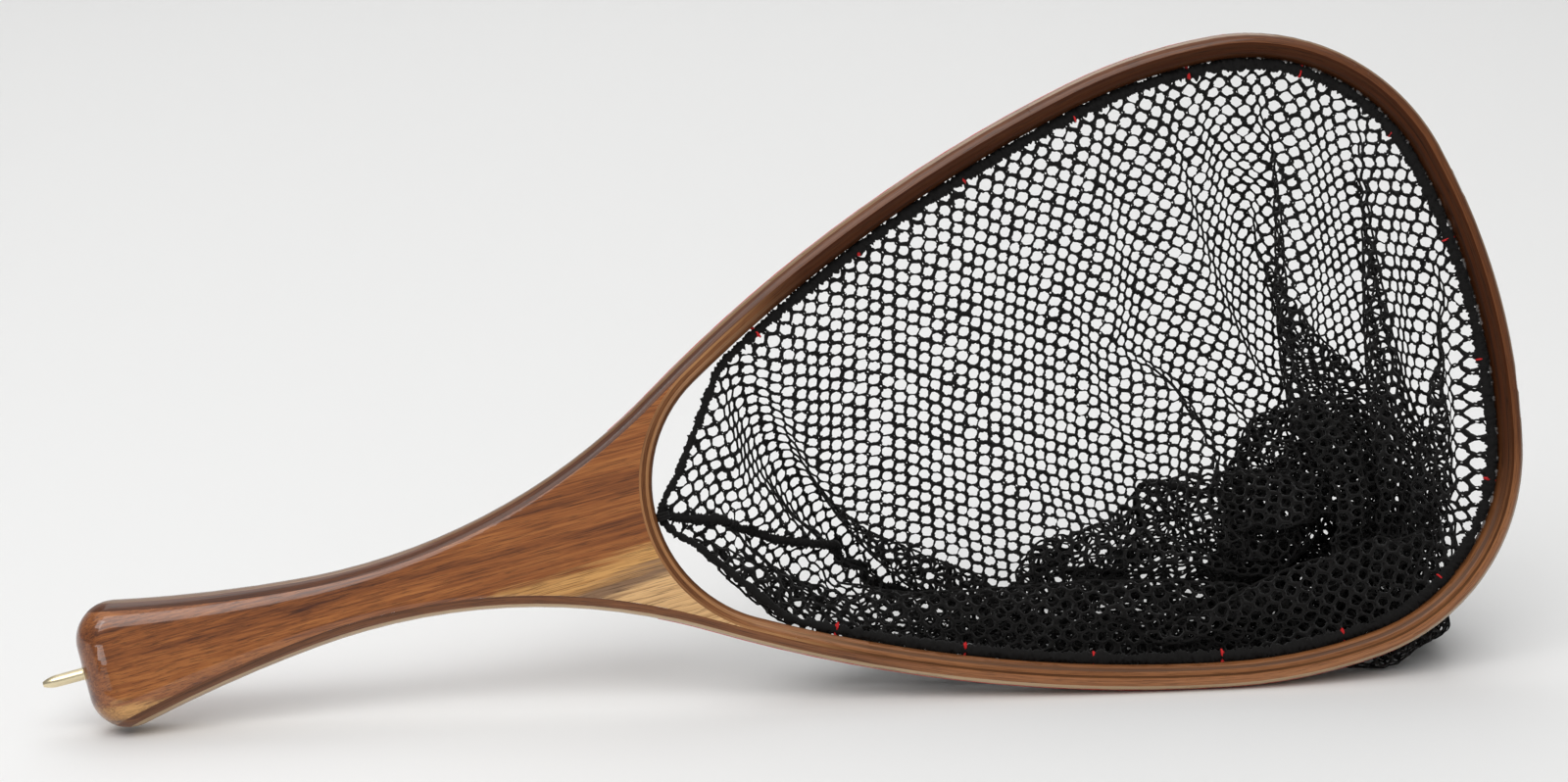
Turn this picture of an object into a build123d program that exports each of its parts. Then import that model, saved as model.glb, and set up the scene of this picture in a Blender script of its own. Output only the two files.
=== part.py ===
"""Wooden landing net, standing on its long edge and leaning back on its gathered bag.

The frame is drawn flat in the net plane: x runs from the butt to the tip of the hoop, y is across.
The net plane is then stood up on its edge. The floor is z = 0 and the open mouth faces -Y.
Every curve is a chain of tangent arcs, so strips laid side by side share their faces exactly.
"""

import math
import os

from build123d import *

os.makedirs("parts", exist_ok=True)

# How the net stands
lean_angle = 17.0  # degrees the hoop leans back from upright
axis_rise = 13.0  # degrees the handle axis climbs from the butt
butt_place = (-291.4, -36.5, 24.46)  # centre of the butt's end face
bag_rear = 55.5  # outer face of the gathered bag

# Outline of the wood, one tangent arc after another from the tip round to the butt
overall_length = 608.1
tip_radius = 272.2
tip_sweep = 13.9
corner_radius = 91.1
corner_sweep = 71.6
side_radius = 230.8
side_sweep = 16.1
front_radius = 645.0
front_sweep = 19.5
shoulder_radius = 259.3
shoulder_sweep = 36.2
flare_radius = 600.0
flare_sweep = 7.2
butt_corner_radius = 16.0
past_butt_sweep = 4.0  # a flank strip is drawn this far past the butt and trimmed with it
throat_at = 241.3  # where the opening starts on the axis

# Bent strips, from the opening outwards
inner_walnut = 1.6
inner_maple = 1.3
middle_walnut = 1.7
middle_maple = 1.0
outer_walnut = 3.3
outer_maple = 1.5
flank_width = outer_walnut + outer_maple
rim_width = inner_walnut + inner_maple + middle_walnut + middle_maple + flank_width

# Depth of the wood, square to the net plane
hoop_half_depth = 6.25
depth_flare_start = 298.0  # level past here, and deeper from here to the butt
depth_flare_radius = 5060.0
depth_flare_sweep = 3.6
cutting_depth = 20.0  # half the depth of anything that cuts right through the wood
outer_round = 5.0
opening_round = 4.0

# Stud in the butt
stud_radius = 2.5
stud_length = 17.0
stud_nose = 6.0
stud_nose_radius = 1.1
shank_radius = 2.0
shank_length = 13.0
insert_radius = 3.5
insert_length = 16.0
collar_radius = 4.4
collar_thickness = 1.2

# Lacing cord, in a groove round the outside, with a loop through each hole to hold the hem
lacing_radius = 0.7
lacing_clearance = 0.1
groove_inset = 0.5
groove_run_out = 5.0  # degrees the groove runs on round the shoulder
hole_radius = 0.95
hole_spacing = 55.0
holes_each_side = 8

# Hem of the bag, and the V that it makes where it is tied at the throat
hem_radius = 2.0
hem_inset = rim_width + 1.8 + hem_radius
hem_front_sweep = 16.5
hem_bend_radius = 14.0
hem_bend_sweep = 26.0
hem_apex_radius = 8.0
tie_thread_radius = 0.6
tie_clearance = 0.3
tie_turns = 3

# Gathered bag
bag_wall = 2.4
bag_gap = 1.9  # between the hem and the netting panels
bag_drop_angle = 8.0  # degrees the bag slopes down behind the hoop
bag_reach = 200.0
seam_width = 1.2
side_seam_half_width = 2.5

lean = math.radians(lean_angle)
rise = math.radians(axis_rise)
along = Vector(math.cos(rise), math.sin(rise) * math.sin(lean), math.sin(rise) * math.cos(lean))
facing = Vector(0, -math.cos(lean), math.sin(lean))
net_plane = Plane(origin=butt_place, x_dir=along, z_dir=facing)
edge_plane = Plane(origin=butt_place, x_dir=along, z_dir=-net_plane.y_dir)
butt_plane = Plane(origin=butt_place, x_dir=net_plane.y_dir, z_dir=-along)
drop = math.radians(bag_drop_angle)
bag_direction = (0, math.cos(drop), -math.sin(drop))


def arc_centre(x, y, heading, radius):
    """Centre of an arc that starts at x, y with this heading and bends left."""
    return x - radius * math.sin(heading), y + radius * math.cos(heading)


def front_arc_centre():
    """Centre of the long arc between the widest part of the hoop and the shoulder."""
    x, y, heading = overall_length, 0.0, math.pi / 2
    for radius, sweep in (
        (tip_radius, tip_sweep),
        (corner_radius, corner_sweep),
        (side_radius, side_sweep),
    ):
        centre_x, centre_y = arc_centre(x, y, heading, radius)
        heading += math.radians(sweep)
        x = centre_x + radius * math.sin(heading)
        y = centre_y - radius * math.cos(heading)
    return arc_centre(x, y, heading, front_radius)


# The throat arc closes the opening: its centre is on the axis and it is tangent to the front arc
front_x, front_y = front_arc_centre()
opening_front_radius = front_radius - rim_width
throat_reach = front_x - throat_at
throat_radius = (opening_front_radius**2 - throat_reach**2 - front_y**2) / (
    2 * (opening_front_radius - throat_reach)
)
throat_x = throat_at + throat_radius
throat_sweep = 180 - math.degrees(math.atan2(-front_y, throat_x - front_x))
swept_to_front = tip_sweep + corner_sweep + side_sweep
ring_front_sweep = 180 - throat_sweep - swept_to_front
butt_corner_sweep = 180 - (swept_to_front + front_sweep - shoulder_sweep - flare_sweep)


def hoop_arcs(inset):
    """Tip, corner and side of one half of the hoop, set in from the outline."""
    tip = JernArc((overall_length - inset, 0), (0, 1), tip_radius - inset, tip_sweep)
    corner = JernArc(tip @ 1, tip % 1, corner_radius - inset, corner_sweep)
    return JernArc(corner @ 1, corner % 1, side_radius - inset, side_sweep)


def flank_arcs(start, heading, inset, further):
    """Shoulder and flare of one flank, from the end of the front arc to the butt or past it."""
    shoulder = JernArc(start, heading, shoulder_radius + inset, -shoulder_sweep)
    return JernArc(shoulder @ 1, shoulder % 1, flare_radius + inset, -(flare_sweep + further))


def close_on_axis(line):
    """A straight line from the end of a half outline to the axis."""
    Line(line @ 1, ((line @ 1).X, 0))


def wood_outline():
    """The whole outline of the wood."""
    with BuildSketch() as face:
        with BuildLine():
            side = hoop_arcs(0)
            front = JernArc(side @ 1, side % 1, front_radius, front_sweep)
            flare = flank_arcs(front @ 1, front % 1, 0, 0)
            corner = JernArc(flare @ 1, flare % 1, butt_corner_radius, butt_corner_sweep)
            Line(corner @ 1, ((corner @ 1).X, 0))
            mirror(about=Plane.XZ)
        make_face()
    return face.sketch


def ring_loop(inset):
    """Everything inside a strip's edge that closes round the throat."""
    with BuildSketch() as face:
        with BuildLine():
            side = hoop_arcs(inset)
            front = JernArc(side @ 1, side % 1, front_radius - inset, ring_front_sweep)
            JernArc(front @ 1, front % 1, throat_radius + rim_width - inset, throat_sweep)
            mirror(about=Plane.XZ)
        make_face()
    return face.sketch


def flank_loop(inset):
    """Everything inside a strip's edge that runs down the handle's flanks and past the butt."""
    with BuildSketch() as face:
        with BuildLine():
            side = hoop_arcs(inset)
            front = JernArc(side @ 1, side % 1, front_radius - inset, front_sweep)
            flare = flank_arcs(front @ 1, front % 1, inset, past_butt_sweep)
            close_on_axis(flare)
            mirror(about=Plane.XZ)
        make_face()
    return face.sketch


def core_loop():
    """The handle between its flank strips, with a feather edge each side of the throat."""
    ring_width = rim_width - flank_width
    with BuildSketch() as face:
        with BuildLine():
            throat = JernArc((throat_at - ring_width, 0), (0, 1), throat_radius + ring_width, -throat_sweep)
            front = JernArc(
                throat @ 1,
                -(throat % 1),
                front_radius - flank_width,
                front_sweep - ring_front_sweep,
            )
            flare = flank_arcs(front @ 1, front % 1, flank_width, past_butt_sweep)
            close_on_axis(flare)
            mirror(about=Plane.XZ)
        make_face()
    return face.sketch


def hem_arcs(grow):
    """Half of the hem's line, moved outwards by grow, from the tip to its apex at the throat."""
    side = hoop_arcs(hem_inset - grow)
    front = JernArc(side @ 1, side % 1, front_radius - hem_inset + grow, hem_front_sweep)
    bend = JernArc(front @ 1, front % 1, hem_bend_radius + grow, hem_bend_sweep)
    heading = math.radians(90 + swept_to_front + hem_front_sweep + hem_bend_sweep)
    apex = hem_apex_radius + grow
    run = ((bend @ 1).Y + apex * math.cos(heading)) / -math.sin(heading)
    chord = Line(bend @ 1, bend @ 1 + (bend % 1) * run)
    return JernArc(chord @ 1, chord % 1, apex, 270 - math.degrees(heading))


def hem_loop(grow):
    """Everything inside the hem's line, moved outwards by grow."""
    with BuildSketch() as face:
        with BuildLine():
            hem_arcs(grow)
            mirror(about=Plane.XZ)
        make_face()
    return face.sketch


def groove_arcs(inset):
    """Half of the lacing groove, from the tip to where it runs out on the shoulder."""
    side = hoop_arcs(inset)
    front = JernArc(side @ 1, side % 1, front_radius - inset, front_sweep)
    JernArc(front @ 1, front % 1, shoulder_radius + inset, -groove_run_out)


def follows_the_outline(edge):
    """An edge along the front or back of the wood, not through its depth or across a face."""
    runs_through = abs((edge % 0.5).dot(facing)) > 0.9
    crosses_a_face = edge.geom_type == GeomType.LINE and edge.length > 2 * butt_corner_radius
    return not runs_through and not crosses_a_face


def lacing_holes():
    """Planes at the lacing holes: origin in the groove, z axis inwards, x axis along the rim."""
    with BuildLine() as half:
        groove_arcs(groove_inset)
    groove = half.wire()
    planes = []
    for number in range(holes_each_side):
        place = (number + 0.5) * hole_spacing
        point = groove.position_at(place, position_mode=PositionMode.LENGTH)
        heading = groove.tangent_at(place, position_mode=PositionMode.LENGTH)
        for side in (1, -1):
            origin = net_plane.from_local_coords(Vector(point.X, side * point.Y))
            tangent = net_plane.from_local_coords(Vector(point.X + heading.X, side * (point.Y + heading.Y)))
            rim_line = (tangent - origin) * side
            planes.append(Plane(origin=origin, x_dir=rim_line, z_dir=facing.cross(rim_line)))
    return planes


hole_planes = lacing_holes()


def drill_lacing_holes():
    """The lacing holes, right through the rim."""
    for plane in hole_planes:
        with BuildSketch(plane) as hole:
            Circle(hole_radius)
        extrude(hole.sketch, amount=cutting_depth, mode=Mode.SUBTRACT)


def sweep_along_groove(radius, mode=Mode.ADD):
    """A round bar along the lacing groove."""
    with BuildLine() as route:
        groove_arcs(groove_inset)
        mirror(about=Plane.XZ)
    path = net_plane.from_local_coords(route.wire())
    with BuildSketch(Plane(origin=path @ 0, z_dir=path % 0)) as section:
        Circle(radius)
    sweep(sections=section.sketch, path=path, mode=mode)


def write(piece, label):
    """Name a piece and write it to its own file."""
    piece.part.label = label
    export_step(piece.part, f"parts/{label}.step")


# The wood as one rounded blank, which every wooden piece is then cut from
with BuildPart() as blank:
    with BuildSketch(net_plane):
        add(wood_outline())
    extrude(amount=cutting_depth, both=True)
    with BuildSketch(edge_plane):
        with BuildLine():
            level = Line((overall_length + 10, hoop_half_depth), (depth_flare_start, hoop_half_depth))
            deepen = JernArc(level @ 1, (-1, 0), depth_flare_radius, -depth_flare_sweep)
            Line(deepen @ 1, ((deepen @ 1).X, 0))
            Line(level @ 0, ((level @ 0).X, 0))
            mirror(about=Plane.XZ)
        make_face()
    extrude(amount=overall_length / 2, both=True, mode=Mode.INTERSECT)
    fillet(blank.edges().filter_by(follows_the_outline), outer_round)
    with BuildSketch(net_plane):
        add(ring_loop(rim_width))
    extrude(amount=cutting_depth, both=True, mode=Mode.SUBTRACT)
    mouth_edges = blank.edges(Select.LAST).filter_by(follows_the_outline)
    fillet(mouth_edges.filter_by(GeomType.LINE, reverse=True), opening_round)
    insert_bottom = collar_thickness + insert_length
    with BuildSketch(butt_plane.offset(-insert_bottom)):
        Circle(insert_radius)
    extrude(amount=insert_bottom + 1, mode=Mode.SUBTRACT)
    with BuildSketch(butt_plane.offset(-collar_thickness)):
        Circle(collar_radius)
    extrude(amount=collar_thickness + 1, mode=Mode.SUBTRACT)


# Handle core, a flared walnut block between the flank strips
with BuildPart() as handle_core:
    with BuildSketch(net_plane):
        add(core_loop())
    extrude(amount=cutting_depth, both=True)
    add(blank.part, mode=Mode.INTERSECT)
write(handle_core, "handle_core")


# Inner strips of the hoop, each closed round the throat
inset = rim_width
for label, width in (
    ("inner_walnut_strip", inner_walnut),
    ("inner_maple_strip", inner_maple),
    ("middle_walnut_strip", middle_walnut),
    ("middle_maple_strip", middle_maple),
):
    with BuildPart() as ring_strip:
        with BuildSketch(net_plane):
            add(ring_loop(inset - width))
            add(ring_loop(inset), mode=Mode.SUBTRACT)
        extrude(amount=cutting_depth, both=True)
        add(blank.part, mode=Mode.INTERSECT)
        drill_lacing_holes()
    write(ring_strip, label)
    inset -= width


# Outer strips, each one long piece from the butt round the hoop and back to the butt
with BuildPart() as outer_walnut_strip:
    with BuildSketch(net_plane):
        add(flank_loop(outer_maple))
        add(flank_loop(flank_width), mode=Mode.SUBTRACT)
    extrude(amount=cutting_depth, both=True)
    add(blank.part, mode=Mode.INTERSECT)
    drill_lacing_holes()
write(outer_walnut_strip, "outer_walnut_strip")

with BuildPart() as outer_maple_strip:
    add(blank.part)
    with BuildSketch(net_plane):
        add(flank_loop(outer_maple))
    extrude(amount=cutting_depth, both=True, mode=Mode.SUBTRACT)
    drill_lacing_holes()
    sweep_along_groove(lacing_radius + lacing_clearance, mode=Mode.SUBTRACT)
write(outer_maple_strip, "outer_maple_strip")


# Stud that a lanyard or a magnetic clip takes hold of, with its threaded insert and its collar
with BuildPart() as butt_stud:
    with BuildSketch(edge_plane):
        with BuildLine():
            root = Line((shank_length, 0), (shank_length, shank_radius))
            shank = Line(root @ 1, (0, shank_radius))
            shoulder = Line(shank @ 1, (0, stud_radius))
            barrel = Line(shoulder @ 1, (stud_nose - stud_length, stud_radius))
            nose = TangentArc(barrel @ 1, (-stud_length, stud_nose_radius), tangent=(-1, 0))
            tip = Line(nose @ 1, (-stud_length, 0))
            Line(tip @ 1, root @ 0)
        make_face()
    revolve(axis=Axis(butt_place, along))
write(butt_stud, "butt_stud")

with BuildPart() as stud_insert:
    with BuildSketch(butt_plane.offset(-insert_bottom)):
        Circle(insert_radius)
        Circle(shank_radius, mode=Mode.SUBTRACT)
    extrude(amount=insert_length)
write(stud_insert, "stud_insert")

with BuildPart() as stud_collar:
    with BuildSketch(butt_plane.offset(-collar_thickness)):
        Circle(collar_radius)
        Circle(shank_radius, mode=Mode.SUBTRACT)
    extrude(amount=collar_thickness)
    fillet(stud_collar.faces().sort_by(Axis(butt_place, along))[0].edges(), 0.3)
write(stud_collar, "stud_collar")


# Lacing cord in the groove, and the loop through each hole that holds the hem
with BuildPart() as lacing_cord:
    sweep_along_groove(lacing_radius)
write(lacing_cord, "lacing_cord")

hem_depth = hem_inset - groove_inset
with BuildPart() as lacing_loops:
    for plane in hole_planes:
        with BuildSketch(plane.offset(lacing_radius)):
            Circle(lacing_radius)
        loop_radius = hem_radius + lacing_radius + lacing_clearance
        extrude(amount=hem_depth - loop_radius - lacing_radius)
        hem_centre = Plane(origin=plane.origin + plane.z_dir * hem_depth, z_dir=plane.x_dir)
        with Locations(hem_centre):
            Torus(loop_radius, lacing_radius)
write(lacing_loops, "lacing_loops")


# Hem cord round the mouth of the bag, and the thread that binds it at the throat
with BuildPart() as hem_cord:
    with BuildLine() as hem_route:
        hem_arcs(0)
        mirror(about=Plane.XZ)
    hem_path = net_plane.from_local_coords(hem_route.wire())
    with BuildSketch(Plane(origin=hem_path @ 0, z_dir=hem_path % 0)) as hem_section:
        Circle(hem_radius)
    sweep(sections=hem_section.sketch, path=hem_path)
write(hem_cord, "hem_cord")

with BuildLine() as hem_half:
    hem_arcs(0)
apex_x = hem_half.vertices().sort_by(Axis.X)[0].X
apex = net_plane.from_local_coords(Vector(apex_x, 0))
with BuildPart() as throat_tie:
    for turn in range(tie_turns):
        turn_place = (turn - (tie_turns - 1) / 2) * 2 * tie_thread_radius
        turn_plane = Plane(origin=apex + net_plane.y_dir * turn_place, z_dir=net_plane.y_dir)
        with Locations(turn_plane):
            Torus(hem_radius + tie_clearance + tie_thread_radius, tie_thread_radius)
write(throat_tie, "throat_tie")


# Gathered bag: a netting side, a netting bottom that stands at the back, and their sewn seams
bag_front = net_plane.offset(-hem_radius - bag_gap)
outside = bag_wall / 2


def trim_bag(front, back):
    """Keep what lies above the floor and between two upright planes."""
    length = 2 * overall_length
    with BuildSketch(Plane.XY) as slab:
        with Locations((0, (front + back) / 2)):
            Rectangle(length, back - front)
    extrude(slab.sketch, amount=overall_length, mode=Mode.INTERSECT)


with BuildPart() as bag_side_panel:
    with BuildSketch(bag_front):
        add(hem_loop(outside))
        add(hem_loop(-outside), mode=Mode.SUBTRACT)
    extrude(amount=bag_reach, dir=bag_direction)
    trim_bag(-bag_reach, bag_rear - bag_wall)
write(bag_side_panel, "bag_side_panel")

with BuildPart() as bag_bottom_panel:
    with BuildSketch(bag_front):
        add(hem_loop(outside))
    extrude(amount=bag_reach, dir=bag_direction)
    trim_bag(bag_rear - bag_wall, bag_rear)
write(bag_bottom_panel, "bag_bottom_panel")

with BuildPart() as bottom_seam:
    with BuildSketch(bag_front):
        add(hem_loop(outside + seam_width))
        add(hem_loop(outside), mode=Mode.SUBTRACT)
    extrude(amount=bag_reach, dir=bag_direction)
    trim_bag(bag_rear - 2 * bag_wall, bag_rear)
write(bottom_seam, "bottom_seam")

with BuildPart() as side_seam:
    with BuildSketch(bag_front):
        with Locations((apex_x, 0)):
            Rectangle(2 * (outside + seam_width), 2 * side_seam_half_width)
        add(hem_loop(outside), mode=Mode.SUBTRACT)
    extrude(amount=bag_reach, dir=bag_direction)
    trim_bag(-bag_reach, bag_rear - 2 * bag_wall)
write(side_seam, "side_seam")
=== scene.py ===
"""Looks of the wooden landing net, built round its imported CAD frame.

The wood keeps its CAD shape and gets grain that follows each bent strip. The bag is a coarse cloth that is
dropped, pushed up against the back of the hoop and left to settle, and then knitted over with real mesh.
Lengths are in metres.
"""

import math

import bmesh
import bpy
import numpy as np
from mathutils import Matrix


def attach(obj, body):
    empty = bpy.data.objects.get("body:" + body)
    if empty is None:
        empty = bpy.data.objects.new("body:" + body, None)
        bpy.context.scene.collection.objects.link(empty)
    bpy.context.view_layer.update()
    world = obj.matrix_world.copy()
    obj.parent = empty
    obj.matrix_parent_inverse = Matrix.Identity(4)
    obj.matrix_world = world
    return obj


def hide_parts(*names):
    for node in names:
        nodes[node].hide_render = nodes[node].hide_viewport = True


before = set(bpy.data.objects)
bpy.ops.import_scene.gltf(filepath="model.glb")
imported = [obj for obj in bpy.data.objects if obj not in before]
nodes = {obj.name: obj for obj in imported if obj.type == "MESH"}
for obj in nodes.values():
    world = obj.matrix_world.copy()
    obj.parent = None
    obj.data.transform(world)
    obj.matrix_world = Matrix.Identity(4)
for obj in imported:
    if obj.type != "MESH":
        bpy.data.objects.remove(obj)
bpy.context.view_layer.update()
MM = 0.001
random = np.random.default_rng(7)

# The net plane, as the CAD has it: x from butt to tip, y across, z towards the front
lean = math.radians(17.0)
rise = math.radians(13.0)
butt_place = np.array([-0.2914, -0.0365, 0.02446])
along = np.array([math.cos(rise), math.sin(rise) * math.sin(lean), math.sin(rise) * math.cos(lean)])
facing = np.array([0.0, -math.cos(lean), math.sin(lean)])
across = np.cross(facing, along)
net_axes = np.stack([along, across, facing])

# The outline of the wood: radius in millimetres and degrees turned, from the tip to the butt
overall_length = 608.1
rim_width = 10.4
hoop_moves = [(272.2, 13.9), (91.1, 71.6), (230.8, 16.1)]
front_radius = 645.0
flank_moves = hoop_moves + [(front_radius, 19.5), (259.3, -36.2), (600.0, -7.2), (16.0, 102.3)]
ring_moves = hoop_moves + [(front_radius, 17.98), (68.22, 60.42)]
hoop_half_depth = 6.25
depth_flare_start = 298.0
depth_flare_radius = 5060.0
outer_round = 5.0
opening_round = 4.0
hem_inset = 14.2


def to_world(points):
    """Points in the net plane's millimetres to metres in the frame."""
    return butt_place + np.asarray(points) * MM @ net_axes


def to_net(points):
    """Points in metres in the frame to the net plane's millimetres."""
    return (np.asarray(points) - butt_place) @ net_axes.T / MM


def arc_chain(moves, inset=0.0):
    """Tangent arcs from the tip: centre, radius, side of the centre, first angle, sweep, length before."""
    x, y, heading, length = overall_length - inset, 0.0, math.pi / 2, 0.0
    arcs = []
    for radius, degrees in moves:
        side = 1 if degrees > 0 else -1
        radius = radius - side * inset
        sweep = math.radians(abs(degrees))
        centre_x = x - side * radius * math.sin(heading)
        centre_y = y + side * radius * math.cos(heading)
        arcs.append((centre_x, centre_y, radius, side, heading - side * math.pi / 2, sweep, length))
        heading += side * sweep
        x = centre_x + side * radius * math.sin(heading)
        y = centre_y - side * radius * math.cos(heading)
        length += radius * sweep
    return arcs


def place_on(chain, x, y):
    """Length along the chain, inset from it and outward direction, for points with y above the axis."""
    length = np.zeros_like(x)
    inset = np.full_like(x, 1e6)
    out = np.stack([-np.ones_like(x), np.zeros_like(x)], 1)
    for centre_x, centre_y, radius, side, first, sweep, before in chain:
        dx, dy = x - centre_x, y - centre_y
        distance = np.hypot(dx, dy)
        turned = (side * (np.arctan2(dy, dx) - first) + math.pi) % (2 * math.pi) - math.pi
        depth = side * (radius - distance)
        nearer = (turned > -0.01) & (turned < sweep + 0.01) & (np.abs(depth) < np.abs(inset))
        length = np.where(nearer, before + np.clip(turned, 0, sweep) * radius, length)
        inset = np.where(nearer, depth, inset)
        direction = np.stack([dx, dy], 1) * (side / distance)[:, None]
        out = np.where(nearer[:, None], direction, out)
    return length, inset, out


def chain_points(arcs, spacing):
    """Points along arcs, about this far apart."""
    points = []
    for centre_x, centre_y, radius, side, first, sweep, before in arcs:
        count = max(2, int(round(radius * sweep / spacing)))
        angles = first + side * sweep * np.arange(count) / count
        points.append(np.stack([centre_x + radius * np.cos(angles), centre_y + radius * np.sin(angles)], 1))
    return np.concatenate(points)


# Materials
def node_material(name, rough, coat=0.0, coat_rough=0.05, metallic=0.0, colour=(0.5, 0.5, 0.5)):
    """A Principled material and what is needed to wire more into it."""
    material = bpy.data.materials.new(name)
    material.use_nodes = True
    tree = material.node_tree
    shader = tree.nodes["Principled BSDF"]
    shader.inputs["Base Color"].default_value = (*colour, 1)
    shader.inputs["Roughness"].default_value = rough
    shader.inputs["Metallic"].default_value = metallic
    shader.inputs["Coat Weight"].default_value = coat
    shader.inputs["Coat Roughness"].default_value = coat_rough
    shader.inputs["Specular IOR Level"].default_value = 0.2 if coat else 0.5
    return material, tree, shader


def own_value(tree, name, output="Fac"):
    """What the piece's own vertices say under this name."""
    node = tree.nodes.new("ShaderNodeAttribute")
    node.attribute_name = name
    return node.outputs[output]


def feed(tree, socket, value):
    """Wire another socket into this one, or give it a plain value."""
    if isinstance(value, bpy.types.NodeSocket):
        tree.links.new(value, socket)
    else:
        socket.default_value = value


def maths(tree, operation, *values):
    """One step of arithmetic with sockets and plain values."""
    node = tree.nodes.new("ShaderNodeMath")
    node.operation = operation
    for socket, value in zip(node.inputs, values):
        feed(tree, socket, value)
    return node.outputs[0]


def grain_noise(tree, stretch, detail, seed):
    """Noise that runs along the grain, from the piece's own grain coordinates."""
    mapping = tree.nodes.new("ShaderNodeMapping")
    mapping.inputs["Scale"].default_value = stretch
    mapping.inputs["Location"].default_value = (seed, seed * 1.7, seed * 0.6)
    tree.links.new(own_value(tree, "grain", "Vector"), mapping.inputs["Vector"])
    noise = tree.nodes.new("ShaderNodeTexNoise")
    noise.inputs["Scale"].default_value = 1.0
    noise.inputs["Detail"].default_value = detail
    noise.inputs["Roughness"].default_value = 0.6
    tree.links.new(mapping.outputs["Vector"], noise.inputs["Vector"])
    return noise.outputs["Fac"]


def ramp(tree, value, stops):
    """A colour ramp over a value."""
    node = tree.nodes.new("ShaderNodeValToRGB")
    elements = node.color_ramp.elements
    elements[0].position, elements[0].color = stops[0][0], (*stops[0][1], 1)
    elements[1].position, elements[1].color = stops[1][0], (*stops[1][1], 1)
    for place, colour in stops[2:]:
        elements.new(place).color = (*colour, 1)
    tree.links.new(value, node.inputs["Fac"])
    return node.outputs["Color"]


def mix(tree, kind, factor, first, second):
    """A colour mix; factor, first and second are sockets or plain values."""
    node = tree.nodes.new("ShaderNodeMix")
    node.data_type = "RGBA"
    node.blend_type = kind
    for number, value in ((0, factor), (6, first), (7, second)):
        feed(tree, node.inputs[number], value)
    return node.outputs[2]


def shaded(tree, colour, low=(0.42, 0.29, 0.20)):
    """Painted shade: darker and redder wood where the piece's painted shade value is low, down to the
    colour low.
    """
    tone = ramp(tree, own_value(tree, "shade"), [(0.0, low), (1.0, (1, 1, 1))])
    return mix(tree, "MULTIPLY", 1.0, colour, tone)


def wood(name, stops, pores, seed, low, coat=0.8, dull_in_shade=False):
    """Lacquered wood: broad figure, fine streaks and short dark pores, all along the grain, under painted
    shade.
    """
    material, tree, shader = node_material(name, 0.4, coat=coat, coat_rough=0.07)
    figure = grain_noise(tree, (0.006, 0.12, 0.12), 3.0, seed)
    streaks = grain_noise(tree, (0.02, 1.3, 1.3), 5.0, seed + 3)
    both = mix(tree, "MIX", 0.45, figure, streaks)
    colour = ramp(tree, both, stops)
    dashes = grain_noise(tree, (0.09, 3.2, 3.2), 2.0, seed + 9)
    dark = ramp(tree, dashes, [(0.36, (pores, pores, pores)), (0.46, (1, 1, 1))])
    colour = shaded(tree, mix(tree, "MULTIPLY", 1.0, colour, dark), low)
    tree.links.new(colour, shader.inputs["Base Color"])
    # With dull_in_shade the coat thins where the painted shade is dark, which also takes out its reflection
    # there.
    if dull_in_shade:
        gloss = maths(tree, "MULTIPLY", own_value(tree, "shade"), coat)
        tree.links.new(gloss, shader.inputs["Coat Weight"])
        shader.inputs["Specular IOR Level"].default_value = 0.1
    return material


walnut_stops = [(0.34, (0.075, 0.018, 0.004)), (0.62, (0.42, 0.150, 0.036)), (0.48, (0.26, 0.078, 0.016))]
dark_stops = [(0.34, (0.105, 0.036, 0.011)), (0.62, (0.44, 0.185, 0.072)), (0.48, (0.29, 0.110, 0.038))]
golden_stops = [(0.34, (0.17, 0.068, 0.024)), (0.62, (0.48, 0.240, 0.095)), (0.48, (0.34, 0.155, 0.058))]
maple_stops = [(0.34, (0.26, 0.15, 0.075)), (0.62, (0.56, 0.39, 0.22)), (0.48, (0.44, 0.29, 0.15))]
# The last colour given to each wood is the darkest tone of its painted shade.
dark_walnut = wood("dark_walnut", dark_stops, 0.5, 21.0, (0.26, 0.17, 0.08), coat=0.4)
# Walnut for the ring's strips: the same colours as dark_walnut, with a deeper painted shade and a coat that
# thins in it.
walnut_deep_painted_shade = wood("walnut_deep_painted_shade", dark_stops, 0.5, 21.0, (0.07, 0.035, 0.015), coat=0.6, dull_in_shade=True)
golden = wood("golden_maple", golden_stops, 0.8, 33.0, (0.11, 0.05, 0.02), dull_in_shade=True)
maple = wood("maple", maple_stops, 0.8, 40.0, (0.30, 0.17, 0.09))


def handle_wood():
    """The handle's one piece of wood: walnut heart that turns to golden sapwood low down."""
    material, tree, shader = node_material("handle_wood", 0.4, coat=1.0, coat_rough=0.06)
    figure = grain_noise(tree, (0.005, 0.09, 0.09), 3.0, 5.0)
    streaks = grain_noise(tree, (0.016, 0.9, 0.9), 5.0, 8.0)
    both = mix(tree, "MIX", 0.5, figure, streaks)
    heart = ramp(tree, both, walnut_stops)
    wander = maths(tree, "MULTIPLY_ADD", grain_noise(tree, (0.010, 0.30, 0.30), 4.0, 13.0), 0.5, -0.25)
    place = maths(tree, "ADD", own_value(tree, "sapwood"), wander)
    gold, grey, pale = (0.63, 0.33, 0.105), (0.26, 0.148, 0.080), (0.72, 0.44, 0.20)
    stops = [(0.30, gold), (0.90, pale), (0.52, gold), (0.62, grey), (0.74, grey), (0.84, pale)]
    sap = ramp(tree, place, stops)
    lines = ramp(tree, streaks, [(0.32, (0.62, 0.55, 0.48)), (0.55, (1, 1, 1))])
    sap = mix(tree, "MULTIPLY", 1.0, sap, lines)
    share = ramp(tree, place, [(0.24, (0, 0, 0)), (0.36, (1, 1, 1))])
    colour = mix(tree, "MIX", share, heart, sap)
    dashes = grain_noise(tree, (0.07, 2.6, 2.6), 2.0, 30.0)
    dark = ramp(tree, dashes, [(0.36, (0.5, 0.5, 0.5)), (0.47, (1, 1, 1))])
    # Painted shade over the handle's colour, darker towards the butt's end and its edges.
    colour = shaded(tree, mix(tree, "MULTIPLY", 1.0, colour, dark))
    tree.links.new(colour, shader.inputs["Base Color"])
    return material


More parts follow.
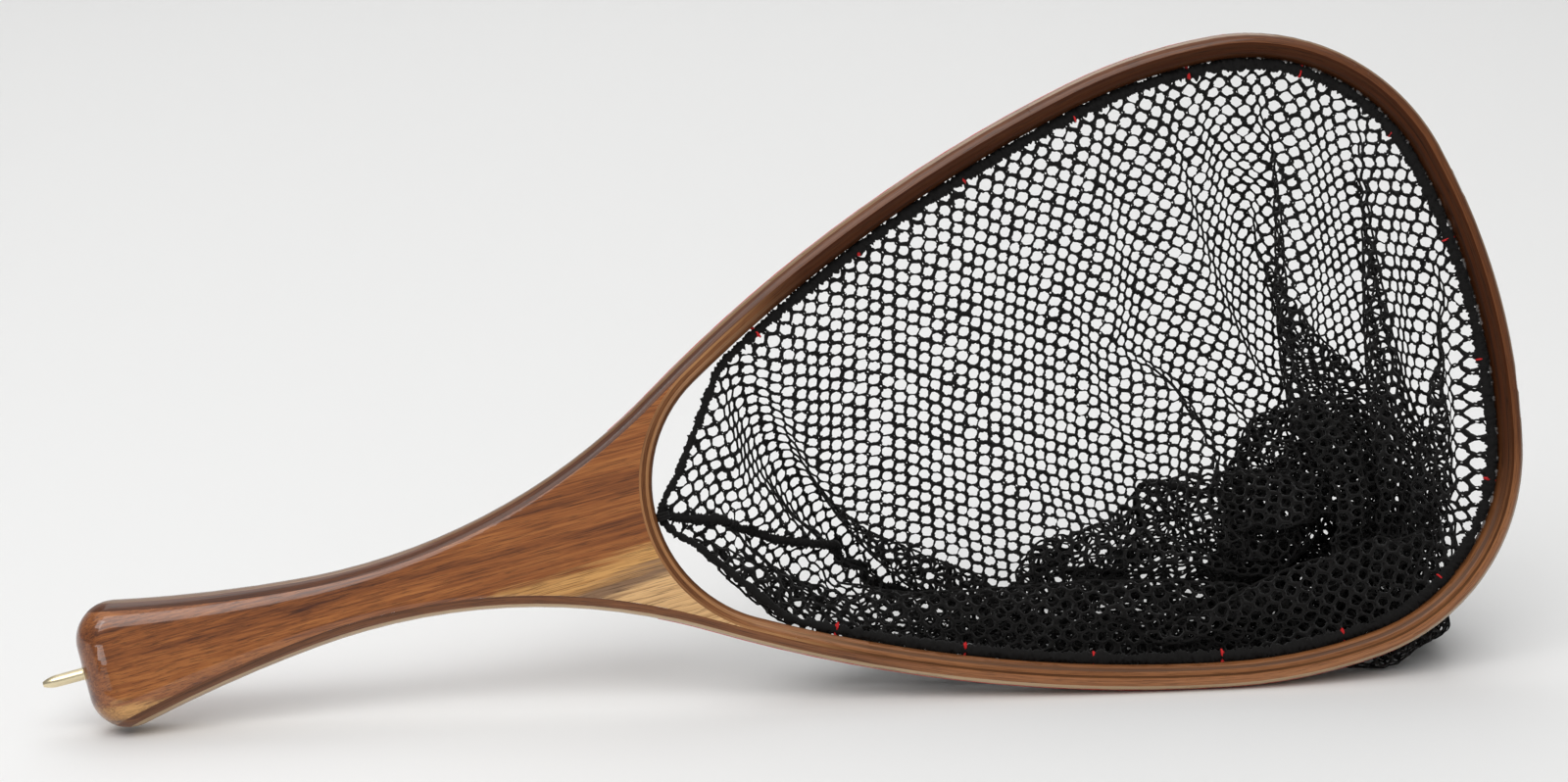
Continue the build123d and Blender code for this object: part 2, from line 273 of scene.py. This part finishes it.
handle_material = handle_wood()
brass, _, _ = node_material("brass", 0.28, metallic=1.0, colour=(0.80, 0.69, 0.46))
red_cord, _, _ = node_material("red_cord", 0.75, colour=(0.62, 0.012, 0.015))
netting, _, netting_shader = node_material("netting", 0.9, colour=(0.0050, 0.0044, 0.0042))
netting_shader.inputs["Sheen Weight"].default_value = 0.05
netting_shader.inputs["Specular IOR Level"].default_value = 0.25


# Wood: the CAD shape, with a fuller rounding down the handle, grain coordinates, painted shade and true
# normals
def rounded(edge, radius, half_depth):
    """Half the wood's depth at this distance from its edge."""
    across_round = np.clip(radius - edge, 0, None)
    return half_depth - radius + np.sqrt(radius**2 - across_round**2)


def slice_handle(mesh):
    """Cut a piece into small faces down the handle, so that it can be rounded further."""
    slices_along = np.arange(1, 264, 3.0)
    slices_across = np.arange(-60, 61, 1.5)
    cuts = [(along, butt_place + along * place * MM) for place in slices_along]
    cuts += [(across, butt_place + across * place * MM) for place in slices_across]
    shape = bmesh.new()
    shape.from_mesh(mesh)
    for normal, place in cuts:
        geometry = shape.verts[:] + shape.edges[:] + shape.faces[:]
        bmesh.ops.bisect_plane(shape, geom=geometry, plane_co=place, plane_no=normal, dist=1e-6)
    bmesh.ops.triangulate(shape, faces=[face for face in shape.faces if len(face.verts) > 4])
    shape.to_mesh(mesh)
    shape.free()


def vertex_places(mesh):
    """A mesh's vertices as rows of x, y and z in metres."""
    places = np.empty(len(mesh.vertices) * 3, np.float32)
    mesh.vertices.foreach_get("co", places)
    return places.reshape(-1, 3).astype(float)


def move_vertices(mesh, places):
    """Put a mesh's vertices at these rows of x, y and z in metres."""
    mesh.vertices.foreach_set("co", places.astype(np.float32).ravel())
    mesh.update()


def add_values(mesh, name, values):
    """Give a mesh one value, or three, at each vertex for its material to read."""
    kind, field = ("FLOAT", "value") if values.ndim == 1 else ("FLOAT_VECTOR", "vector")
    attribute = mesh.attributes.new(name, kind, "POINT")
    attribute.data.foreach_set(field, values.astype(np.float32).ravel())


def link_copy(name, mesh, replaced):
    """A new piece on the frame, in place of a CAD node."""
    piece = bpy.data.objects.new(name, mesh)
    bpy.context.scene.collection.objects.link(piece)
    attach(piece, "root")
    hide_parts(replaced)


def smooth_copy(name, material):
    """A copy of a CAD node's mesh, smooth and in this material."""
    mesh = nodes[name].data.copy()
    mesh.materials.clear()
    mesh.materials.append(material)
    mesh.polygons.foreach_set("use_smooth", np.ones(len(mesh.polygons), bool))
    return mesh


def wood_shade(name, moves, x, y, inset, out):
    """Painted shade, 0 to 1 for full light: light on the lower rim and dark on the rest, with the handle
    core darker towards the butt's end and its edges.
    """
    down = np.where(y < 0, 1, -1) * out[:, 1]
    shade = np.clip(1.3 * down - 0.1, 0.12, 1)
    near_throat = np.clip((320 - x) / 50, 0, 1)
    if not moves:
        return np.clip(0.35 + x / 22.0, 0, 1) * np.clip(0.5 + inset / 12.0, 0, 1)
    # The ring's maple strips stay in painted shade except near the throat.
    if "maple" in name and moves is ring_moves:
        return np.maximum(0.2 * shade, near_throat)
    # The ring's walnut strips take a deeper painted shade than the outer strips.
    if moves is ring_moves:
        return np.maximum(0.65 * shade, np.minimum(near_throat, 0.4))
    if "maple" in name:
        return np.maximum(shade, np.clip((x - 240) / 80, 0, 0.3))
    if moves is flank_moves:
        return shade * np.clip((x - 230) / 120, 0.4, 1)
    return shade


def set_normals(mesh, true):
    """Use these vertex normals wherever they nearly agree with the face, and the face's own elsewhere."""
    loops = np.empty(len(mesh.loops), np.int32)
    mesh.loops.foreach_get("vertex_index", loops)
    faces = np.empty(len(mesh.polygons) * 3, np.float32)
    mesh.polygons.foreach_get("normal", faces)
    sizes = np.empty(len(mesh.polygons), np.int32)
    mesh.polygons.foreach_get("loop_total", sizes)
    flat = np.repeat(faces.reshape(-1, 3), sizes, axis=0)
    normals = true[loops]
    agrees = (normals * flat).sum(1) > 0.85
    normals = np.where(agrees[:, None], normals, flat)
    mesh.normals_split_custom_set(normals.tolist())


def dress_wood(name, moves, material):
    """A copy of a wooden CAD piece with grain that follows its own outline, and painted shade."""
    mesh = smooth_copy(name, material)
    if moves is not ring_moves:
        slice_handle(mesh)
    net = to_net(vertex_places(mesh))
    x, y, z = net.T
    length, inset, out = place_on(arc_chain(moves or flank_moves), x, np.abs(y))
    flare = np.clip(depth_flare_start - x, 0, None)
    half_depth = hoop_half_depth + depth_flare_radius - np.sqrt(depth_flare_radius**2 - flare**2)
    slope = flare / depth_flare_radius
    fullness = half_depth - (hoop_half_depth - outer_round)
    if moves is not ring_moves:
        edge = np.clip(np.minimum(inset, x), 0, None)
        z = z * rounded(edge, fullness, half_depth) / rounded(edge, outer_round, half_depth)
        net[:, 2] = z
        move_vertices(mesh, to_world(net))
    grain = np.stack([length, inset, z], 1) if moves else net.copy()
    if moves is flank_moves:
        grain[:, 0] *= np.where(y < 0, -1, 1)
    add_values(mesh, "grain", grain)
    # The painted shade, for the wood materials to read.
    add_values(mesh, "shade", wood_shade(name, moves, x, y, inset, out))
    opening = np.zeros(len(net), bool)
    if not moves:
        add_values(mesh, "sapwood", 0.3 + (sap_line(x) - y) / 30.0)
        at_end = x < np.minimum(inset, 6.0)
        out = np.where(at_end[:, None], np.array([-1.0, 0.0]), out)
    if moves is ring_moves:
        opening = inset > rim_width / 2
        out = np.where(opening[:, None], -out, out)
    rounding = np.where(opening, opening_round, fullness)
    up = np.clip((np.abs(z) - half_depth + rounding) / rounding, 0, 1)
    sideways = np.sqrt(1 - up**2)
    out[:, 1] *= np.where(y < 0, -1, 1)
    true = np.stack([out[:, 0] * sideways + slope * up, out[:, 1] * sideways, np.sign(z) * up], 1)
    true /= np.linalg.norm(true, axis=1)[:, None]
    set_normals(mesh, true @ net_axes)
    link_copy(name + "_wood", mesh, name)


def sap_line(x):
    """How far across the sapwood reaches, along the handle."""
    return np.interp(x, [0, 25, 50, 150, 170, 203, 235, 270], [-14, -17, -26, -20, -13.5, -13, -9, -9])


for strip in ("inner_walnut", "inner_maple", "middle_walnut", "middle_maple"):
    dress_wood(strip + "_strip", ring_moves, golden if "maple" in strip else walnut_deep_painted_shade)
dress_wood("outer_walnut_strip", flank_moves, dark_walnut)
dress_wood("outer_maple_strip", flank_moves, maple)
dress_wood("handle_core", None, handle_material)


def finish_cad(name, material):
    """Show a CAD piece as it is, smooth, in this material."""
    mesh = nodes[name].data
    mesh.materials.clear()
    mesh.materials.append(material)
    mesh.polygons.foreach_set("use_smooth", np.ones(len(mesh.polygons), bool))


for name in ("butt_stud", "stud_insert", "stud_collar"):
    finish_cad(name, brass)
finish_cad("lacing_cord", red_cord)


# Hem line: along the hoop, in behind the throat on a bend, and straight to a rounded corner there
hem_front_sweep = 16.5
hem_bend_radius = 14.0
hem_bend_sweep = 26.0
hem_apex_radius = 8.0


def hem_line(spacing):
    """The closed hem line in the net plane, starting at its apex in the throat."""
    chain = arc_chain(hoop_moves + [(front_radius, hem_front_sweep)], hem_inset)
    upper = chain_points(chain, spacing)
    heading = math.pi / 2 + sum(arc[5] for arc in chain)
    last = chain[-1]
    angle = last[4] + last[5]
    start = np.array([last[0] + last[2] * math.cos(angle), last[1] + last[2] * math.sin(angle)])
    centre = start + hem_bend_radius * np.array([-math.sin(heading), math.cos(heading)])
    sweep = math.radians(hem_bend_sweep)
    turns = heading - math.pi / 2 + np.arange(0, 4) * sweep / 4
    bend = centre + hem_bend_radius * np.stack([np.cos(turns), np.sin(turns)], 1)
    upper = np.concatenate([upper, bend])
    heading += sweep
    bend_end = centre + hem_bend_radius * np.array([math.sin(heading), -math.cos(heading)])
    run = (bend_end[1] + hem_apex_radius * math.cos(heading)) / -math.sin(heading)
    direction = np.array([math.cos(heading), math.sin(heading)])
    steps = np.arange(0, run, spacing)[:, None]
    upper = np.concatenate([upper, bend_end + direction * steps])
    turned = np.array([-math.sin(heading), math.cos(heading)])
    apex_centre = bend_end + direction * run + hem_apex_radius * turned
    turns = np.linspace(heading - math.pi / 2, math.pi, 5)
    tip = apex_centre + hem_apex_radius * np.stack([np.cos(turns), np.sin(turns)], 1)
    upper = np.concatenate([upper, tip])
    lower = upper[1:-1] * np.array([1, -1])
    return np.concatenate([upper[::-1], lower])


def resample(points, count):
    """Evenly spaced points along a closed polyline, and its length."""
    points = np.concatenate([points, points[:1]])
    steps = np.linalg.norm(np.diff(points, axis=0), axis=1)
    reach = np.concatenate([[0], np.cumsum(steps)])
    wanted = np.linspace(0, reach[-1], count + 1)[:count]
    return np.stack([np.interp(wanted, reach, column) for column in points.T], 1), reach[-1]


# The hem is drawn out towards the rim, and furthest at its corner in the throat
columns = 120
hem_plane, hem_length = resample(hem_line(2.0), columns)
rim_shift = 1.4
corner_shift = 2.8
corner_half_width = 9.0
corner_end = 300.0
tie_shift = 3.9
at_corner = np.exp(-((hem_plane[:, 1] / corner_half_width) ** 2)) * (hem_plane[:, 0] < corner_end)
hem_shift = rim_shift + corner_shift * at_corner
hem_run = np.roll(hem_plane, -1, 0) - np.roll(hem_plane, 1, 0)
hem_run /= np.linalg.norm(hem_run, axis=1)[:, None]
hem_out = np.column_stack([hem_run[:, 1], -hem_run[:, 0], np.zeros(len(hem_run))])
hem_out *= np.sign((hem_out[:, :2] * (hem_plane - hem_plane.mean(0))).sum())
hem_out = hem_out @ net_axes


# The lacing's turns are drawn in to a share of their distance from the hem's middle, but not at the rim
turn_reach = 3.2
rim_reach = 4.0
turn_share = 0.25


def tighten_loops():
    """The lacing's turns, drawn tight into the hem so that only their short way to the rim shows."""
    mesh = smooth_copy("lacing_loops", red_cord)
    net = to_net(vertex_places(mesh))
    fine, _ = resample(hem_plane, 10 * columns)
    nearest = np.array([np.argmin(((fine - point[:2]) ** 2).sum(1)) for point in net])
    middle = np.column_stack([fine[nearest], np.zeros(len(net))])
    distance = np.linalg.norm(net - middle, axis=1)
    share = np.interp(distance, [turn_reach, rim_reach], [turn_share, 1.0])
    move_vertices(mesh, to_world(middle + (net - middle) * share[:, None]))
    link_copy("lacing_turns", mesh, "lacing_loops")


def tighten_tie():
    """The tie's turns, drawn with the hem's corner up to the rim."""
    mesh = smooth_copy("throat_tie", netting)
    mesh.transform(Matrix.Translation(-along * tie_shift * MM))
    link_copy("throat_turns", mesh, "throat_tie")


tighten_loops()
tighten_tie()


# The bag as a coarse cloth: columns run round the mouth, rows run back from it, rings close the bottom
side_rows = 35
bottom_rings = 13
row_step = 8.0
taper = 0.10
bag_droop = math.radians(8.0)

# Settling it, ten times life size: the walls' places, the frames when the back one moves, and the pull
sim_scale = 10.0
back_wall = 0.062
back_wall_far = 0.34
tip_wall = 0.283
push_from = 18
push_until = 95
last_frame = 140
side_pull = 1.0
down_pull = 14.0


def bag_at_rest():
    """The bag held straight out behind the hoop, as rows of points from hem to bottom."""
    hem = np.column_stack([hem_plane, np.zeros(columns)])
    middle = hem.mean(0)
    behind = np.array([0, math.cos(bag_droop), -math.sin(bag_droop)])
    rows = []
    for row in range(side_rows + 1):
        shrink = 1 - taper * row / side_rows
        rows.append(to_world(middle + (hem - middle) * shrink) + behind * row * row_step * MM)
    last = rows[-1]
    centre = last.mean(0)
    for ring in range(1, bottom_rings + 1):
        rows.append(centre + (last - centre) * (1 - ring / bottom_rings))
    return np.array(rows)


def add_collider(name, points, faces, thickness):
    """A mesh that the cloth bumps into."""
    mesh = bpy.data.meshes.new(name)
    mesh.from_pydata([list(point) for point in points], [], faces)
    collider = bpy.data.objects.new(name, mesh)
    bpy.context.scene.collection.objects.link(collider)
    collider.modifiers.new("Collision", "COLLISION")
    collider.collision.thickness_outer = thickness
    collider.collision.thickness_inner = 0.2
    collider.collision.cloth_friction = 6.0
    collider.collision.damping = 0.5
    return collider


def slab(name, x_axis, y_axis, centre, half_x, half_y, thickness):
    """A flat rectangular collider."""
    corners = [(-1, -1), (1, -1), (1, 1), (-1, 1)]
    x_axis, y_axis, centre = (np.array(v, float) for v in (x_axis, y_axis, centre))
    points = [centre + x_axis * half_x * i + y_axis * half_y * j for i, j in corners]
    return add_collider(name, points, [(0, 1, 2, 3)], thickness)


def rim_collider():
    """The hoop as a simple tube."""
    line, _ = resample(rim_line(), 140)
    points, faces = tube_mesh(to_world(np.column_stack([line, np.zeros(len(line))])), 6.0 * MM, 8)
    return add_collider("rim_collider", points * sim_scale, faces, 0.012)


def rim_line():
    """The middle of the rim all the way round, in the net plane."""
    upper = chain_points(arc_chain(ring_moves, rim_width / 2), 4.0)
    return np.concatenate([upper, (upper[1:] * np.array([1, -1]))[::-1]])


def tube_mesh(line, radii, sides):
    """Points and faces of a closed round tube along a closed line."""
    count = len(line)
    ahead = np.roll(line, -1, 0) - np.roll(line, 1, 0)
    ahead /= np.linalg.norm(ahead, axis=1)[:, None]
    first = np.cross(ahead, facing)
    first /= np.linalg.norm(first, axis=1)[:, None]
    second = np.cross(ahead, first)
    angles = np.arange(sides) * 2 * math.pi / sides
    radii = np.broadcast_to(radii, (count, sides))[..., None]
    turn = first[:, None] * np.cos(angles)[:, None] + second[:, None] * np.sin(angles)[:, None]
    rings = line[:, None] + radii * turn
    index = np.arange(count * sides).reshape(count, sides)
    after, beside = np.roll(index, -1, 0), np.roll(index, -1, 1)
    faces = np.stack([index, beside, np.roll(after, -1, 1), after], -1).reshape(-1, 4)
    return rings.reshape(-1, 3), faces.tolist()


def settle_bag(rows):
    """Let the bag fall, push it up to the hoop with a wall, and let it come to rest."""
    scene = bpy.context.scene
    count = rows.shape[0] - 1
    points = np.concatenate([rows[:-1].reshape(-1, 3), rows[-1][:1]]) * sim_scale
    index = np.arange(count * columns).reshape(count, columns)
    beside = np.roll(index, -1, 1)
    faces = np.stack([index[:-1], beside[:-1], beside[1:], index[1:]], -1).reshape(-1, 4).tolist()
    faces += [(a, b, count * columns) for a, b in zip(index[-1], beside[-1])]
    mesh = bpy.data.meshes.new("bag_cloth")
    mesh.from_pydata(points.tolist(), [], faces)
    cloth = bpy.data.objects.new("bag_cloth", mesh)
    scene.collection.objects.link(cloth)
    held = cloth.vertex_groups.new(name="held")
    held.add(index[0].tolist(), 1.0, "REPLACE")
    modifier = cloth.modifiers.new("Cloth", "CLOTH")
    settings = modifier.settings
    settings.vertex_group_mass = "held"
    settings.quality = 7
    settings.mass = 0.3
    settings.air_damping = 1.5
    settings.tension_stiffness = 18
    settings.compression_stiffness = 6
    settings.shear_stiffness = 3
    settings.bending_stiffness = 0.35
    settings.tension_damping = 5
    settings.compression_damping = 5
    settings.shear_damping = 5
    settings.bending_damping = 0.5
    hits = modifier.collision_settings
    hits.collision_quality = 3
    hits.distance_min = 0.012
    hits.use_self_collision = True
    hits.self_distance_min = 0.022
    hits.self_friction = 8.0
    floor = slab("floor_collider", (1, 0, 0), (0, 1, 0), (0, 2, -0.01), 8, 8, 0.02)
    mouth_place = to_world((420, 0, 3.0)) * sim_scale
    mouth = slab("mouth_collider", across, along, mouth_place, 5, 5, 0.012)
    rim = rim_collider()
    tip_side = slab("tip_collider", (0, 0, 1), (0, 1, 0), (tip_wall * sim_scale, 0, 0.55), 8, 8, 0.012)
    wall = slab("wall_collider", (1, 0, 0), (0, 0, 1), (0, 0, 0), 8, 8, 0.02)
    wall.location.y = back_wall_far * sim_scale
    wall.keyframe_insert("location", frame=push_from)
    wall.location.y = back_wall * sim_scale
    wall.keyframe_insert("location", frame=push_until)
    modifier.point_cache.frame_start = 1
    modifier.point_cache.frame_end = last_frame
    scene.gravity = (side_pull, 0, -down_pull)
    for number in range(1, last_frame + 1):
        scene.frame_set(number)
    settled = cloth.evaluated_get(bpy.context.evaluated_depsgraph_get()).data
    places = np.empty(len(settled.vertices) * 3, np.float32)
    settled.vertices.foreach_get("co", places)
    places = places.reshape(-1, 3).astype(float) / sim_scale
    for thing in (cloth, floor, mouth, rim, tip_side, wall):
        bpy.data.objects.remove(thing)
    scene.frame_set(1)
    body = places[:-1].reshape(count, columns, 3)
    return np.concatenate([body, np.broadcast_to(places[-1], (1, columns, 3))])


def smooth(grid, factor, wraps):
    """A finer grid through the same points, along the first axis."""
    count = len(grid)
    places = np.arange(count * factor if wraps else (count - 1) * factor + 1) / factor
    whole = np.minimum(places.astype(int), count - 1)
    part = (places - whole)[:, None, None]

    def near(offset):
        wanted = whole + offset
        return grid[wanted % count if wraps else np.clip(wanted, 0, count - 1)]

    a, b, c, d = near(-1), near(0), near(1), near(2)
    squared, cubed = 2 * a - 5 * b + 4 * c - d, 3 * b - a - 3 * c + d
    return 0.5 * (2 * b + (c - a) * part + squared * part**2 + cubed * part**3)


class Surface:
    """A smooth surface through rows and columns of points, where columns wrap round."""

    def __init__(self, rows):
        self.factor = 4
        fine = smooth(rows, self.factor, False)
        fine = smooth(fine.transpose(1, 0, 2), self.factor, True).transpose(1, 0, 2)
        round_way = np.roll(fine, -1, 1) - np.roll(fine, 1, 1)
        back_way = np.gradient(fine, axis=0)
        normal = np.cross(round_way, back_way)
        normal /= np.maximum(np.linalg.norm(normal, axis=2), 1e-12)[..., None]
        self.fine = np.concatenate([fine, normal], 2)

    def at(self, row, column):
        """Places and normals at these rows and columns, which need not be whole."""
        round_count = self.fine.shape[1]
        row = np.clip(row * self.factor, 0, len(self.fine) - 1.001)
        column = (column * self.factor) % round_count
        i, j = row.astype(int), column.astype(int)
        f, g = (row - i)[..., None], (column - j)[..., None]
        j, k = j % round_count, (j + 1) % round_count
        both = (self.fine[i, j] * (1 - g) + self.fine[i, k] * g) * (1 - f)
        both = both + (self.fine[i + 1, j] * (1 - g) + self.fine[i + 1, k] * g) * f
        return both[..., :3], both[..., 3:]


# Mesh of the netting, in millimetres: six-sided holes in staggered rows, thick bars between neighbours
hole_pitch = 7.0
hole_rows = 4.15
bar_length = 2.6
bar_width = 2.1
strand_width = 1.05
strand_half_depth = 0.5
pinhole_half = 0.55
least_strand = 0.35
uneven_size = 0.07
uneven_edge = 0.085
uneven_place = 0.2


def cell_shape():
    """One hole's edge, and the line midway to its neighbours, at the same angles."""
    corner = math.atan2(bar_length / 2, hole_pitch / 2)
    pinhole = math.atan2(pinhole_half, hole_pitch / 2)
    rest = (math.pi / 2 - corner) / 3
    quarter = [pinhole, corner, corner + rest, corner + 2 * rest, math.pi / 2]
    half = [0.0] + quarter + [math.pi - angle for angle in quarter[:4][::-1]]
    angles = np.array(half + [angle + math.pi for angle in half])
    turn = np.stack([np.cos(angles), np.sin(angles)], 1)
    peak = hole_rows - bar_length / 2
    slope = np.array([peak - bar_length / 2, hole_pitch / 2])
    slope /= np.linalg.norm(slope)
    reach = slope[1] * peak
    side = np.abs(turn[:, 0])
    steep = np.abs(turn[:, 0]) * slope[0] + np.abs(turn[:, 1]) * slope[1]
    border = 1 / np.maximum(side / (hole_pitch / 2), steep / reach)
    power = 5.0
    hole = (side / ((hole_pitch - bar_width) / 2)) ** power + (steep / (reach - strand_width / 2)) ** power
    return turn, border, hole ** (-1 / power)


def knit(name, centres, locate, limit):
    """Net over a surface. locate turns flat points, such as the holes' centres, into places and normals."""
    turn, border, hole = cell_shape()
    sides = len(turn)
    pieces = []
    for part, start in enumerate(range(0, len(centres), limit)):
        middles = centres[start : start + limit]
        count = len(middles)
        uneven = 1 + uneven_size * random.standard_normal((count, 1))
        uneven = uneven + uneven_edge * random.standard_normal((count, sides))
        edge = np.minimum(hole * uneven, border - least_strand)
        shift = uneven_place * random.standard_normal((count, 1, 2))
        reach = np.tile(border, (count, 1))
        reach[:, [0, sides // 2]] -= random.uniform(0.0, pinhole_half, (count, 2))
        outer = middles[:, None] + turn * reach[..., None]
        inner = middles[:, None] + shift + turn * edge[..., None]
        outer_place, outer_normal = locate(outer)
        inner_place, _ = locate(inner)
        raised = outer_normal * strand_half_depth * MM
        rings = np.stack([outer_place + raised, inner_place, outer_place - raised], 1)
        index = np.arange(count * 3 * sides).reshape(count, 3, sides)
        after = np.roll(index, -1, 2)
        faces = np.stack([index[:, :-1], after[:, :-1], after[:, 1:], index[:, 1:]], -1).reshape(-1, 4)
        pieces.append(quad_mesh(f"{name}_{part}", rings.reshape(-1, 3), faces, netting))
    return pieces


def quad_mesh(name, points, faces, material):
    """A smooth mesh object of four-sided faces."""
    mesh = bpy.data.meshes.new(name)
    mesh.vertices.add(len(points))
    mesh.vertices.foreach_set("co", points.astype(np.float32).ravel())
    mesh.loops.add(faces.size)
    mesh.loops.foreach_set("vertex_index", faces.astype(np.int32).ravel())
    mesh.polygons.add(len(faces))
    mesh.polygons.foreach_set("loop_start", np.arange(0, faces.size, 4, dtype=np.int32))
    mesh.polygons.foreach_set("use_smooth", np.ones(len(faces), bool))
    mesh.materials.append(material)
    mesh.update(calc_edges=True)
    mesh.validate()
    piece = bpy.data.objects.new(name, mesh)
    bpy.context.scene.collection.objects.link(piece)
    return piece


rest_rows = bag_at_rest()
bag_rows = rest_rows
bag_rows = settle_bag(rest_rows)
hem_shift_shares = (1.0, 0.7, 0.35)
for row, share in enumerate(hem_shift_shares):
    bag_rows[row] += hem_out * (share * hem_shift * MM)[:, None]
side_surface = Surface(bag_rows[: side_rows + 1])
bottom_surface = Surface(bag_rows[side_rows:])
holes_round = int(round(hem_length / hole_pitch))
holes_back = int(side_rows * row_step / hole_rows)
first_row = 0.8
rows_in_piece = 17
holes_in_piece = 2200


def on_side(flat):
    """Flat points of the side panel, x round the mouth and y back from it, onto the settled bag."""
    return side_surface.at(flat[..., 1] / row_step, flat[..., 0] * columns / (holes_round * hole_pitch))


number, row = np.meshgrid(np.arange(holes_round), np.arange(holes_back))
side_centres = np.stack([(number + 0.5 * (row % 2)) * hole_pitch, (row + first_row) * hole_rows], -1)
side_centres = side_centres.reshape(-1, 2)

bottom_edge = (hem_plane - hem_plane.mean(0)) * (1 - taper)
edge_angles = np.unwrap(np.arctan2(bottom_edge[:, 1], bottom_edge[:, 0]))
edge_reach = np.hypot(bottom_edge[:, 0], bottom_edge[:, 1])
clockwise = edge_angles[-1] < edge_angles[0]


def on_edge(flat):
    """The column and the share of the way out to the edge, for flat points of the bottom panel."""
    angles = np.arctan2(flat[..., 1], flat[..., 0])
    steps = np.arange(columns + 1)
    reach = np.append(edge_reach, edge_reach[0])
    full_turn = -2 * math.pi if clockwise else 2 * math.pi
    track = np.append(edge_angles, edge_angles[0] + full_turn)
    low = min(track[0], track[-1])
    angles = low + (angles - low) % (2 * math.pi)
    order = slice(None, None, -1) if clockwise else slice(None)
    column = np.interp(angles, track[order], steps[order])
    return column, np.hypot(flat[..., 0], flat[..., 1]) / np.interp(angles, track[order], reach[order])


def on_bottom(flat):
    """Flat points of the bottom panel onto the settled bag."""
    column, share = on_edge(flat)
    return bottom_surface.at((1 - share) * bottom_rings, column)


half_count = int(420 / hole_pitch)
half_rows = 40
edge_limit = 0.98
number, row = np.meshgrid(np.arange(-half_count, half_count), np.arange(-half_rows, half_rows + 1))
bottom_centres = np.stack([(number + 0.5 * (row % 2)) * hole_pitch, row * hole_rows], -1).reshape(-1, 2)
bottom_centres = bottom_centres[on_edge(bottom_centres)[1] < edge_limit]
side_pieces = knit("bag_side", side_centres, on_side, rows_in_piece * holes_round)
bottom_pieces = knit("bag_bottom", bottom_centres, on_bottom, holes_in_piece)
for pieces, node in ((side_pieces, "bag_side_panel"), (bottom_pieces, "bag_bottom_panel")):
    for piece in pieces:
        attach(piece, "root")
        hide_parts(node)


# Cords: the spacing and height of their lumps, their stray loops of yarn, and where the throat slims them
rope_sides = 12
lump_length = 0.7 * MM
slow_lumps = 0.3
flattening = 0.3
stray_share = 0.03
stray_reach = 0.45
throat_span = [265, 330]


def rope(name, line, radius, fuzz, node, slim=1.0):
    """A fuzzy, rather flat closed cord along a line, with stray loops of yarn, slimmer at the throat."""
    _, length = resample(line, len(line))
    steps = int(length / lump_length)
    line, _ = resample(line, steps)
    lumps = 1 + fuzz * random.standard_normal((steps, rope_sides))
    lumps[random.random((steps, rope_sides)) < stray_share] += stray_reach
    slow = np.convolve(np.tile(random.standard_normal(steps), 3), np.ones(5) / 5, "same")[steps : 2 * steps]
    flatness = 1 - flattening * np.abs(np.sin(np.arange(rope_sides) * 2 * math.pi / rope_sides))
    taut = np.interp(to_net(line)[:, :1], throat_span, [slim, 1.0])
    lumps += slow_lumps * slow[:, None]
    points, faces = tube_mesh(line, radius * taut * flatness * lumps, rope_sides)
    piece = quad_mesh(name, points, np.array(faces), netting)
    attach(piece, "root")
    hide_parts(node)


rope("hem", side_surface.fine[0, :, :3], radius=2.4 * MM, fuzz=0.2, node="hem_cord", slim=0.62)
rope("bottom_edge", bottom_surface.fine[0, :, :3], radius=1.3 * MM, fuzz=0.22, node="bottom_seam")
seam_line = side_surface.fine[2:-1, 0, :3]
seam_line = np.concatenate([seam_line, seam_line[::-1][1:-1] + 0.3 * MM])
rope("side_edge", seam_line, radius=1.7 * MM, fuzz=0.25, node="side_seam")


# Stage
def stage_plane(name, size, place, turn, material):
    """A square plane of the studio, which isn't part of the net."""
    bpy.ops.mesh.primitive_plane_add(size=size, location=place, rotation=turn)
    plane = bpy.context.object
    plane.name = name
    plane.data.materials.append(material)


paper, _, _ = node_material("paper", 0.9, colour=(0.82, 0.82, 0.815))
stage_plane("floor", 12.0, (0, 0, 0), (0, 0, 0), paper)
stage_plane("backdrop", 12.0, (0, 3.5, 0), (math.radians(90), 0, 0), paper)


def soft_light(name, place, aim, size, power):
    """A square softbox aimed at a point."""
    data = bpy.data.lights.new(name, "AREA")
    data.size = size
    data.energy = power
    lamp = bpy.data.objects.new(name, data)
    bpy.context.scene.collection.objects.link(lamp)
    back = np.array(place, float) - np.array(aim, float)
    back /= np.linalg.norm(back)
    right = np.cross([0, 0, 1], back)
    right /= np.linalg.norm(right)
    up = np.cross(back, right)
    turned = np.eye(4)
    turned[:3] = np.stack([right, up, back, np.array(place, float)], 1)
    lamp.matrix_world = Matrix(turned.tolist())


soft_light("above", (-0.2, -0.1, 3.0), (0, 0.1, 0), 4.2, 33)
soft_light("front", (-0.5, -2.2, 2.9), (0, 0, 0), 2.8, 60)
soft_light("far", (0, 2.6, 3.2), (0, 2.0, 0), 3.0, 46)
soft_light("window", (-1.2, -1.0, 1.5), (-0.1, 0, 0.1), 0.7, 5)

world = bpy.data.worlds.new("world")
bpy.context.scene.world = world
world.use_nodes = True
world.node_tree.nodes["Background"].inputs["Color"].default_value = (1, 1, 1, 1)
world.node_tree.nodes["Background"].inputs["Strength"].default_value = 0.30
bpy.context.scene.view_settings.view_transform = "Standard"

camera_data = bpy.data.cameras.new("camera")
camera_data.lens = 81.0
camera_data.sensor_width = 36.0
camera = bpy.data.objects.new("camera", camera_data)
bpy.context.scene.collection.objects.link(camera)
camera.location = (-0.10751, -1.42006, 0.47986)
camera.rotation_euler = [math.radians(angle) for angle in (75.942, 0.966, -4.524)]
bpy.context.scene.camera = camera
